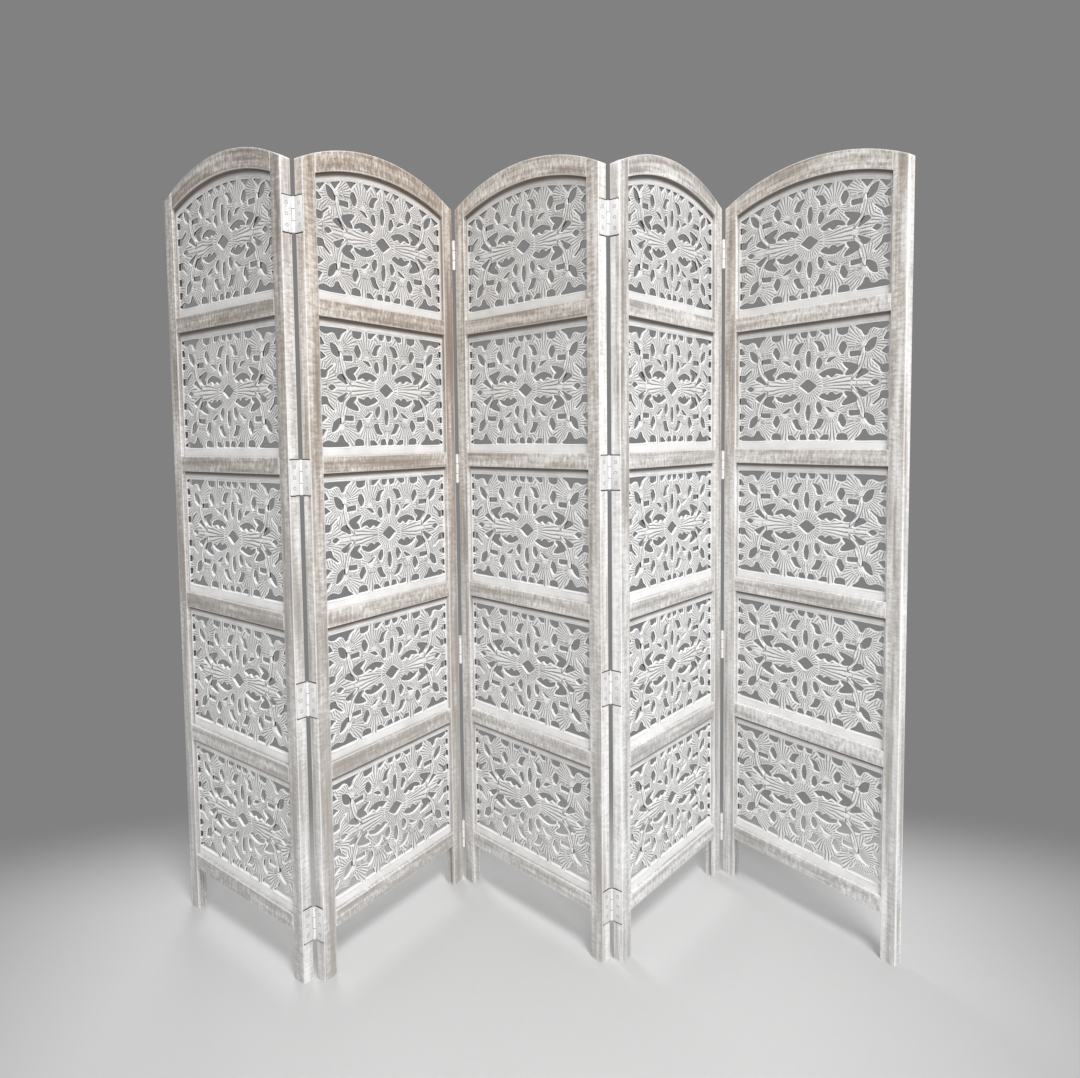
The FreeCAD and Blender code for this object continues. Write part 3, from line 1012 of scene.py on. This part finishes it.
def screw_head(leaf, side, middle):
    """Round head with a cross recess, a hair proud of its plate.

    Rings of a low dome: the face at radius r stands proud by a share of 1 - (r / R)^2, and
    is sunk where either of the recess's two slots crosses it. The first ring is in the
    plate, and it, the rim and the recess get painted shade.
    """
    hinges = bpy.context.scene.screen_hinges
    thickness = bpy.context.scene.screen_frame.thickness
    edge, outward = edge_of(leaf, side)
    angle = np.arange(SCREW_SIDES) * 2 * math.pi / SCREW_SIDES
    share = np.concatenate([[1.0], np.linspace(1, SCREW_MIDDLE_SHARE, SCREW_RINGS)])
    radius = (share * hinges.screw_radius)[:, None]
    y, z = radius * np.cos(angle), radius * np.sin(angle)
    slot = np.minimum(np.abs(y), np.abs(z)) < SLOT_WIDTH_SHARE * hinges.screw_radius
    sunk = slot & (radius < SLOT_REACH_SHARE * hinges.screw_radius)
    dome = SCREW_DOME * (1 - (radius / hinges.screw_radius) ** 2)
    proud = np.where(sunk, -SLOT_DEPTH, dome)
    proud[0] = -hinges.plate_thickness / 2
    x = edge + outward * (hinges.plate_thickness + proud)
    # Painted shade in the cross recess and on the first rings
    arris = np.where(sunk, PAINTED_SHADE_HOLLOW, hinges.screw_radius - radius)
    arris[:SCREW_SHADED_RINGS] = PAINTED_SHADE_HOLLOW
    points, face_groups = carried(np.stack([x, thickness / 2 + y, middle + z], -1))
    if side == "left":
        face_groups = flipped(face_groups)
    return points, face_groups, {"arris": arris.ravel(), "board": points[:, [2, 0, 1]]}


def hinge_pin(leaf, middle):
    """Pin of one hinge on the leaf's right edge: a bar with a stepped-in end at both ends."""
    hinges = bpy.context.scene.screen_hinges
    end, radius = hinges.plate_height / 2, hinges.pin_radius
    levels = [(share * radius, end + past) for share, past in PIN_ENDS]
    levels = [(size, -height) for size, height in levels] + levels[::-1]
    line = pin_line(leaf, "right", FOLD_PIN_FACES[leaf.number - 1])
    return turned_bar(levels, PIN_SIDES, (*line, middle))


class Term:
    """A number that varies over a surface. Arithmetic on it adds Math nodes."""

    def __init__(self, finish, socket):
        self.finish = finish
        self.socket = socket

    def worked(self, operation, *others):
        """The result of a Math node on this number and the others."""
        node = self.finish.node("ShaderNodeMath", {"operation": operation},
                                dict(enumerate((self, *others))))
        return Term(self.finish, node.outputs[0])

    def __add__(self, other): return self.worked("ADD", other)
    def __sub__(self, other): return self.worked("SUBTRACT", other)
    def __mul__(self, other): return self.worked("MULTIPLY", other)
    def __truediv__(self, other): return self.worked("DIVIDE", other)
    def __radd__(self, other): return self + other
    def __rmul__(self, other): return self * other
    def __rsub__(self, other): return self * -1 + other

    def power(self, other): return self.worked("POWER", other)
    def most(self, other): return self.worked("MAXIMUM", other)

    def ramp(self, low, high):
        """Smooth rise from 0 at low to 1 at high."""
        node = self.finish.node("ShaderNodeMapRange", {"interpolation_type": "SMOOTHSTEP"},
                                {"Value": self, "From Min": low, "From Max": high})
        return Term(self.finish, node.outputs[0])

    def wave(self):
        """0.5 + 0.5 cos(2 pi value): 1 at whole numbers and 0 half way between."""
        return (self * (2 * math.pi)).worked("COSINE") * 0.5 + 0.5


class Finish:
    """A material, or the world, under construction."""

    def __init__(self, block):
        self.block = block
        block.use_nodes = True
        self.tree = block.node_tree
        self.tree.nodes.clear()

    def node(self, kind, settings=None, sockets=None):
        """Add a node: its settings first, then the values or links of its sockets."""
        node = self.tree.nodes.new(kind)
        for key, value in (settings or {}).items():
            setattr(node, key, value)
        for key, value in (sockets or {}).items():
            socket = node.inputs[key]
            source = value.socket if isinstance(value, Term) else value
            if isinstance(source, bpy.types.NodeSocket):
                self.tree.links.new(source, socket)
            else:
                socket.default_value = source
        return node

    def attribute(self, name):
        return self.node("ShaderNodeAttribute", {"attribute_name": name})

    def value(self, name):
        return Term(self, self.attribute(name).outputs["Fac"])

    def vector(self, name):
        return self.attribute(name).outputs["Vector"]

    def split(self, vector):
        node = self.node("ShaderNodeSeparateXYZ", None, {0: vector})
        return [Term(self, output) for output in node.outputs]

    def place(self):
        return self.node("ShaderNodeTexCoord").outputs["Object"]

    def noise(self, vector, scale, detail=2.0, roughness=0.55):
        """Noise stretched by a scale for each axis, or one for all, in cycles per metre."""
        scale = scale if isinstance(scale, tuple) else (scale, scale, scale)
        scaled = self.node("ShaderNodeVectorMath", {"operation": "MULTIPLY"}, {0: vector, 1: scale})
        node = self.node("ShaderNodeTexNoise", None, {
            "Vector": scaled.outputs[0], "Scale": 1.0, "Detail": detail, "Roughness": roughness})
        return Term(self, node.outputs["Fac"])

    def mix(self, amount, first, second):
        """Colour that goes from first to second as amount goes from 0 to 1."""
        first, second = (colour if isinstance(colour, bpy.types.NodeSocket) else (*colour, 1.0)
                         for colour in (first, second))
        node = self.node("ShaderNodeMix", {"data_type": "RGBA"},
                         {"Factor": amount, 6: first, 7: second})
        return node.outputs[2]

    def bump(self, height, distance, strength):
        node = self.node("ShaderNodeBump", None,
                         {"Height": height, "Distance": distance, "Strength": strength})
        return node.outputs[0]

    def looked_past(self):
        """1 for rays that come from the camera, straight or by way of metal or glass."""
        rays = self.node("ShaderNodeLightPath").outputs
        seen = Term(self, rays["Is Camera Ray"])
        for name in ("Is Glossy Ray", "Is Transmission Ray"):
            seen = seen.most(Term(self, rays[name]))
        return seen

    def aged(self, colour):
        """The colour with as much of its brown as its leaf shows."""
        node = self.node("ShaderNodeHueSaturation", None,
                         {"Saturation": self.value("warmth"), "Color": colour})
        return node.outputs[0]

    def surface(self, colour, roughness, normal, metallic=0.0):
        """Principled surface with these varying inputs."""
        shader = self.node("ShaderNodeBsdfPrincipled", None, {
            "Base Color": colour, "Roughness": roughness, "Normal": normal, "Metallic": metallic,
            "Specular IOR Level": SPECULAR_LEVEL})
        self.node("ShaderNodeOutputMaterial", None, {"Surface": shader.outputs[0]})
        return self.block


def frame_wood(name):
    """Limewashed frame: brown wood, grey first wash and white, with a painted highlight on the
    edges.

    Fine saw marks run across every board and show through the wash, and the wood is warmer
    towards the top of the screen.
    """
    colours = bpy.context.scene.screen_colours
    finish = Finish(bpy.data.materials.new(name))
    board, arris = finish.vector("board"), finish.value("arris")
    height = finish.split(finish.place())[2]
    saw = finish.noise(board, (160.0, 62.0, 62.0), 2.0, 0.6)
    grain = finish.noise(board, (3.0, 75.0, 75.0), 3.0, 0.65)
    cloud = finish.noise(board, (5.5, 42.0, 42.0), 4.0, 0.6)
    wide = finish.noise(board, (3.0, 9.0, 9.0), 2.0, 0.5)
    fleck = finish.noise(board, (160.0, 260.0, 260.0), 2.0, 0.6)
    warm = height.ramp(*FRAME_WARM_HEIGHTS)
    sawn = (wide + (cloud - 0.5) * 0.8).ramp(0.34, 0.60) * 0.5 + finish.value("sawn") * 0.5
    marks = (saw - 0.5) * (sawn * 1.1 + 0.3) + (grain - 0.5) * (1.9 - sawn * 1.0)
    patches = (cloud - 0.5) * 1.15 + (wide - 0.5) * 0.7 + (fleck - 0.5) * 0.40
    cover = marks + patches + finish.value("wash") + 0.42 - warm * 0.16
    brown = finish.mix(warm * 0.55 + 0.40, colours.grey_wash, colours.bare_wood)
    thin_wash = finish.mix(warm * 0.85, colours.grey_wash, colours.tan_wash)
    ground = finish.mix(cover.ramp(-0.25, 0.50), brown, thin_wash)
    washed = finish.mix(cover.ramp(0.10, 1.05), ground, colours.white_wash)
    # Painted highlight: the frame turns whiter near its rounded edges
    off_edge = arris + (fleck - 0.5) * 0.002 + (cloud - 0.5) * 0.007
    rubbed = (1.0 - off_edge.ramp(0.0006, 0.0030)) * 0.45
    colour = finish.aged(finish.mix(rubbed, washed, colours.white_wash))
    relief = saw * sawn * 0.7 + grain * 0.3 + fleck * 0.25
    return finish.surface(colour, 0.62 + saw * 0.25, finish.bump(relief, FRAME_RELIEF, 0.6))


def carved_wood(name):
    """Limewashed carving: painted highlight on the ridges, painted shade in the gouge's strokes.

    One stroke runs beside each opening and the fans' strokes cross the leaves. The walls turn
    from white to dark wood and painted shade, with painted light from above where they face up.
    """
    colours = bpy.context.scene.screen_colours
    sizes = bpy.context.scene.screen_carving
    half_width = sizes.stem_half_width
    finish = Finish(bpy.data.materials.new(name))
    edge, turn, stem = finish.split(finish.vector("carving"))
    clear, bare, lip = finish.split(finish.vector("stroke"))
    place = finish.place()
    height = finish.split(place)[2]
    play = finish.noise(place, 26.0, 2.0)
    fine = finish.noise(place, 420.0, 3.0, 0.7)
    cloud = finish.noise(place, 14.0, 3.0, 0.6)
    # Painted shade in the grooves: a line beside each opening, lines along the stems and the fans'
    # strokes
    beside = (edge / sizes.stroke_width + 0.42).wave().power(2.5) * 0.4 \
        * (1.0 - edge.ramp(0.0045, 0.006)) * edge.ramp(0.0008, 0.0018)
    along_stem = (stem / (half_width * 0.96)).wave().power(1.8) \
        * (1.0 - stem.ramp(half_width, half_width * 1.25))
    fanned = (turn + play * 0.9).wave().power(2.4) * clear * edge.ramp(0.0014, 0.0030)
    groove = beside.most(along_stem).most(fanned) * (0.65 + fine * 0.5)
    # Painted highlight on the stems' crests and along the openings' edges
    crest_highlight = (1.0 - stem.ramp(0.0062, 0.0072)) * (1.0 - along_stem)
    ridge_highlight = (1.0 - edge.ramp(0.0010, 0.0024)).most(crest_highlight)
    thin = (cloud - 0.5) * 0.8 + (fine - 0.5) * 0.6 - finish.value("wash") * 0.5
    face = finish.mix((0.24 + thin).ramp(0.0, 1.1), colours.white_wash, colours.grey_wash)
    cut = finish.mix((groove + thin * 0.25).ramp(0.05, 0.95), face, colours.stroke_shade)
    painted_highlights = finish.mix(ridge_highlight * (1.0 - groove) * 0.7, cut, colours.white_wash)
    # Painted shade near the frame over bare brown wood, darkest, nearly black, under the rail above
    unwashed_and_shaded = finish.mix((bare + thin * 0.3).ramp(0.05, 0.95) * 0.8, painted_highlights, colours.bare_wood)
    corner_shadow = finish.mix(bare.ramp(0.70, 1.0) * 0.6, unwashed_and_shaded, colours.dark_wood_and_shade)
    warm = finish.mix(height.ramp(*PANEL_WARM_HEIGHTS) * 0.24, corner_shadow, colours.bare_wood)
    # Painted shade: the walls darken inwards to nearly black wood, and the up-facing lips keep
    # painted light from above
    dark = (edge * -1.0 + (fine - 0.5) * 0.0015).ramp(0.0001, 0.0020)
    wall = finish.mix(dark * (0.94 - lip.ramp(0.1, 0.7) * 0.85), warm, colours.dark_wood_and_shade)
    relief = groove * -1.0 + fine * 0.2
    return finish.surface(
        finish.aged(wall), 0.7 + fine * 0.15, finish.bump(relief, CARVING_RELIEF, 0.9))


def hinge_steel(name):
    """Steel hinges that were washed over with the wood: white with steel rubbed bare."""
    colours = bpy.context.scene.screen_colours
    finish = Finish(bpy.data.materials.new(name))
    place, arris = finish.place(), finish.value("arris")
    patch = finish.noise(place, (150.0, 150.0, 90.0), 4.0, 0.65)
    fine = finish.noise(place, 900.0, 2.0, 0.6)
    bare = (patch + (fine - 0.5) * 0.4).ramp(0.60, 0.72) * 0.8
    rim = 1.0 - arris.ramp(0.0001, 0.0008)
    steel = bare.most(rim * 0.35)
    washed = finish.mix(steel * 0.85 + 0.14, colours.white_wash, colours.steel)
    # Painted shade where the wear marks a hollow: the bed, the knuckles' ends and the screws
    colour = finish.mix(1.0 - arris.ramp(-0.0008, -0.0001), washed, colours.dark_wood_and_shade)
    relief = finish.bump(patch * 0.6 + fine * 0.4, HINGE_RELIEF, 0.5)
    return finish.surface(colour, 0.62 - steel * 0.22, relief, steel * 0.75)


# Name and maker of the finish in each material slot
FINISHES = {
    "frame_wood": ("limewashed_frame_wood", frame_wood),
    "carved_panel_wood": ("limewashed_carving", carved_wood),
    "hinge_steel": ("washed_hinge_steel", hinge_steel),
}


def finish_of(slot):
    """The finish of a material slot, made when it is first needed."""
    name, make = FINISHES[slot]
    return bpy.data.materials.get(name) or make(name)


def floor_paper(stage):
    """Pale floor that keeps the shadow near the screen and turns into the ground's tone.

    Its distance from the screen is the root of the sum of two squares: sideways, and
    forwards or back, each times how fast the floor fades that way.
    """
    finish = Finish(bpy.data.materials.new("floor_paper"))
    across, back = finish.split(finish.place())[:2]
    along = (back * FLOOR_FADE_BEHIND).most(back * -FLOOR_FADE_IN_FRONT)
    away = ((across * FLOOR_FADE_SIDEWAYS).power(2.0) + along.power(2.0)).power(0.5)
    paper = finish.noise(finish.place(), 60.0, 3.0)
    grey = paper * 0.02 + (stage.floor_grey - 0.01)
    tone = finish.node("ShaderNodeCombineColor", None, {0: grey, 1: grey, 2: grey})
    floor = finish.node("ShaderNodeBsdfDiffuse", None, {"Color": tone.outputs[0]})
    ground = finish.node("ShaderNodeEmission", None, {
        "Color": (1, 1, 1, 1), "Strength": stage.ground_grey})
    faded = finish.node("ShaderNodeMixShader", None, {
        0: finish.looked_past() * away.ramp(*FLOOR_FADE), 1: floor.outputs[0],
        2: ground.outputs[0]})
    finish.node("ShaderNodeOutputMaterial", None, {"Surface": faded.outputs[0]})
    return finish.block


class StageOperator(bpy.types.Operator):
    """Set up the camera, the floor and the soft light"""

    bl_idname = "jali_screen.stage"
    bl_label = "Stage"

    def execute(self, context):
        scene, stage = context.scene, context.scene.screen_stage
        scene.view_settings.view_transform = "Standard"
        self.camera(scene, stage)
        self.floor(scene, stage)
        self.world(scene, stage)
        for lamp in LAMPS:
            self.lamp(scene, stage, *lamp)
        return {"FINISHED"}

    def camera(self, scene, stage):
        """Camera with its axis off the picture's middle, turned down and then leaned."""
        data = bpy.data.cameras.new("photo_camera")
        data.sensor_fit = "HORIZONTAL"
        data.sensor_width = SENSOR_WIDTH
        data.lens = stage.focal_pixels * SENSOR_WIDTH / PICTURE_WIDTH_PIXELS
        data.shift_x = (PICTURE_WIDTH_PIXELS / 2 - stage.centre_x_pixels) / PICTURE_WIDTH_PIXELS
        data.shift_y = (stage.centre_y_pixels - PICTURE_HEIGHT_PIXELS / 2) / PICTURE_WIDTH_PIXELS
        data.clip_end = 100.0
        camera = bpy.data.objects.new("photo_camera", data)
        pitch, roll = stage.camera_pitch, stage.camera_roll
        right = Vector((1, 0, 0))
        up = Vector((0, math.sin(pitch), math.cos(pitch)))
        leaning_right = right * math.cos(roll) - up * math.sin(roll)
        leaning_up = right * math.sin(roll) + up * math.cos(roll)
        backward = leaning_right.cross(leaning_up)
        turn = Matrix((leaning_right, leaning_up, backward)).transposed()
        camera.matrix_world = Matrix.Translation(stage.camera_place) @ turn.to_4x4()
        scene.collection.objects.link(camera)
        scene.camera = camera

    def floor(self, scene, stage):
        """One square round the origin."""
        size = stage.floor_half_size
        corners = [(-size, -size, 0), (size, -size, 0), (size, size, 0), (-size, size, 0)]
        mesh = bpy.data.meshes.new("floor")
        mesh.from_pydata(corners, [], [(0, 1, 2, 3)])
        mesh.materials.append(floor_paper(stage))
        floor = bpy.data.objects.new("floor", mesh)
        scene.collection.objects.link(floor)

    def world(self, scene, stage):
        """Soft light, stronger from above and behind; rays past the screen see plain ground."""
        sky = Finish(bpy.data.worlds.new("studio"))
        back, upward = sky.split(sky.node("ShaderNodeTexCoord").outputs["Generated"])[1:]
        share = upward * (1.0 - stage.light_below) + back * stage.light_behind + 1.0
        soft = sky.node("ShaderNodeBackground", None,
                        {"Color": share, "Strength": stage.world_light})
        ground = sky.node("ShaderNodeBackground", None, {
            "Color": (1.0, 1.0, 1.0, 1.0), "Strength": stage.ground_grey})
        mixed = sky.node("ShaderNodeMixShader", None, {
            0: sky.looked_past(), 1: soft.outputs[0], 2: ground.outputs[0]})
        sky.node("ShaderNodeOutputWorld", None, {"Surface": mixed.outputs[0]})
        scene.world = sky.block

    def lamp(self, scene, stage, name, place, target, size):
        """Square lamp that points at its target, with the power that the stage gives it."""
        data = bpy.data.lights.new(name, "AREA")
        data.shape = "SQUARE"
        data.size = size
        data.energy = getattr(stage, name + "_power")
        lamp = bpy.data.objects.new(name, data)
        lamp.location = place
        lamp.rotation_euler = (Vector(target) - Vector(place)).to_track_quat("-Z", "Y").to_euler()
        scene.collection.objects.link(lamp)


class StilesOperator(bpy.types.Operator):
    """Make both uprights of every leaf"""

    bl_idname = "jali_screen.stiles"
    bl_label = "Stiles"

    def execute(self, context):
        for leaf in leaves():
            for side in ("left", "right"):
                node = "%s_%s_stile" % (leaf.body, side)
                build_piece(leaf, node + "_wood", stile(leaf, side), "frame_wood", [node])
        return {"FINISHED"}


class RailsOperator(bpy.types.Operator):
    """Make the bottom rail and the four cross rails of every leaf"""

    bl_idname = "jali_screen.rails"
    bl_label = "Rails"

    def execute(self, context):
        for leaf in leaves():
            for number in range(PLAIN_PANEL_COUNT + 1):
                bottom = leaf.foot_height + number * leaf.pitch
                shape = rail(leaf, level(bottom), level(bottom + leaf.rail_height), number)
                node = leaf.body + ("_cross_rails" if number else "_bottom_rail")
                name = node + ("_wood_%d" % number if number else "_wood")
                build_piece(leaf, name, shape, "frame_wood", [node])
        return {"FINISHED"}


class ArchesOperator(bpy.types.Operator):
    """Make the curved top rail of every leaf"""

    bl_idname = "jali_screen.arches"
    bl_label = "Arches"

    def execute(self, context):
        for leaf in leaves():
            shape = rail(leaf, lambda x: inner_arch(leaf, x), lambda x: outer_arch(leaf, x),
                         ARCH_RAIL_SEED)
            node = leaf.body + "_arch_rail"
            build_piece(leaf, node + "_wood", shape, "frame_wood", [node])
        return {"FINISHED"}


class PanelsOperator(bpy.types.Operator):
    """Make the carved and pierced panels of every leaf"""

    bl_idname = "jali_screen.panels"
    bl_label = "Carved panels"

    def execute(self, context):
        thickness = context.scene.screen_carving.thickness
        front = (context.scene.screen_frame.thickness - thickness) / 2
        first = leaves()[0]
        boards = {arched: carved_board(first, arched) for arched in (False, True)}
        for leaf in leaves():
            for number in range(PLAIN_PANEL_COUNT + 1):
                arched = number == PLAIN_PANEL_COUNT
                points, face_groups, attributes = boards[arched]
                bottom = leaf.foot_height + leaf.rail_height + number * leaf.pitch
                points = hand_play(leaf, points, leaf.number + 3 * number)
                points += np.array([leaf.middle, front, bottom + leaf.half_height])
                name = "arched_panel" if arched else "panel_%d" % (PLAIN_PANEL_COUNT - number)
                node = "%s_%s" % (leaf.body, name)
                build_piece(leaf, node + "_carving", (points, face_groups, attributes),
                            "carved_panel_wood", [node])
        return {"FINISHED"}


class HingesOperator(bpy.types.Operator):
    """Make the hinge plates, the screws and the pins"""

    bl_idname = "jali_screen.hinges"
    bl_label = "Hinges"

    def execute(self, context):
        half = context.scene.screen_hinges.plate_height / 2
        all_leaves = leaves()
        for leaf in all_leaves:
            sides = []
            if leaf.number > 1:
                sides.append(("left", FOLD_PIN_FACES[leaf.number - 2]))
            if leaf.number < LEAF_COUNT:
                sides.append(("right", FOLD_PIN_FACES[leaf.number - 1]))
            places = [(side, face, share * leaf.height) for side, face in sides
                      for share in HINGE_HEIGHT_SHARES]
            plates = [part for side, face, z in places
                      for part in hinge_half(leaf, side, face, z)]
            build_piece(leaf, leaf.body + "_hinge_leaves", joined(plates), "hinge_steel",
                        [leaf.body + "_hinge_plates"])
            screws = [screw_head(leaf, side, z + share * half) for side, _, z in places
                      for share in SCREW_HEIGHT_SHARES]
            build_piece(leaf, leaf.body + "_hinge_screws", joined(screws), "hinge_steel")
        for leaf in all_leaves[:-1]:
            pins = [hinge_pin(leaf, share * leaf.height) for share in HINGE_HEIGHT_SHARES]
            node = "fold_%d_%d_hinge_pins" % (leaf.number, leaf.number + 1)
            build_piece(leaf, node + "_turned", joined(pins), "hinge_steel", [node])
        return {"FINISHED"}


class ScreenPanel(bpy.types.Panel):
    """Lists the screen's pieces and sizes in the sidebar"""

    bl_idname = "VIEW3D_PT_jali_screen"
    bl_label = "Jali Screen"
    bl_space_type = "VIEW_3D"
    bl_region_type = "UI"
    bl_category = "Jali Screen"

    def draw(self, context):
        for operator in OPERATORS:
            self.layout.operator(operator.bl_idname)
        for key, group in GROUPS.items():
            box = self.layout.box()
            box.label(text=group.__doc__)
            for name in group.__annotations__:
                box.prop(getattr(context.scene, key), name)


GROUPS = {
    "screen_frame": ScreenFrame,
    "screen_carving": ScreenCarving,
    "screen_hinges": ScreenHinges,
    "screen_colours": ScreenColours,
    "screen_stage": ScreenStage,
}
OPERATORS = (StageOperator, StilesOperator, RailsOperator, ArchesOperator, PanelsOperator,
             HingesOperator)
CLASSES = (*GROUPS.values(), *OPERATORS, ScreenPanel)


def register():
    for cls in CLASSES:
        bpy.utils.register_class(cls)
    for key, group in GROUPS.items():
        setattr(bpy.types.Scene, key, PointerProperty(type=group))


def unregister():
    for key in GROUPS:
        delattr(bpy.types.Scene, key)
    for cls in reversed(CLASSES):
        bpy.utils.unregister_class(cls)


def main():
    """Register the classes and make every piece."""
    register()
    bpy.ops.jali_screen.stage()
    bpy.ops.jali_screen.stiles()
    bpy.ops.jali_screen.rails()
    bpy.ops.jali_screen.arches()
    bpy.ops.jali_screen.panels()
    bpy.ops.jali_screen.hinges()


if __name__ == "__main__":
    main()
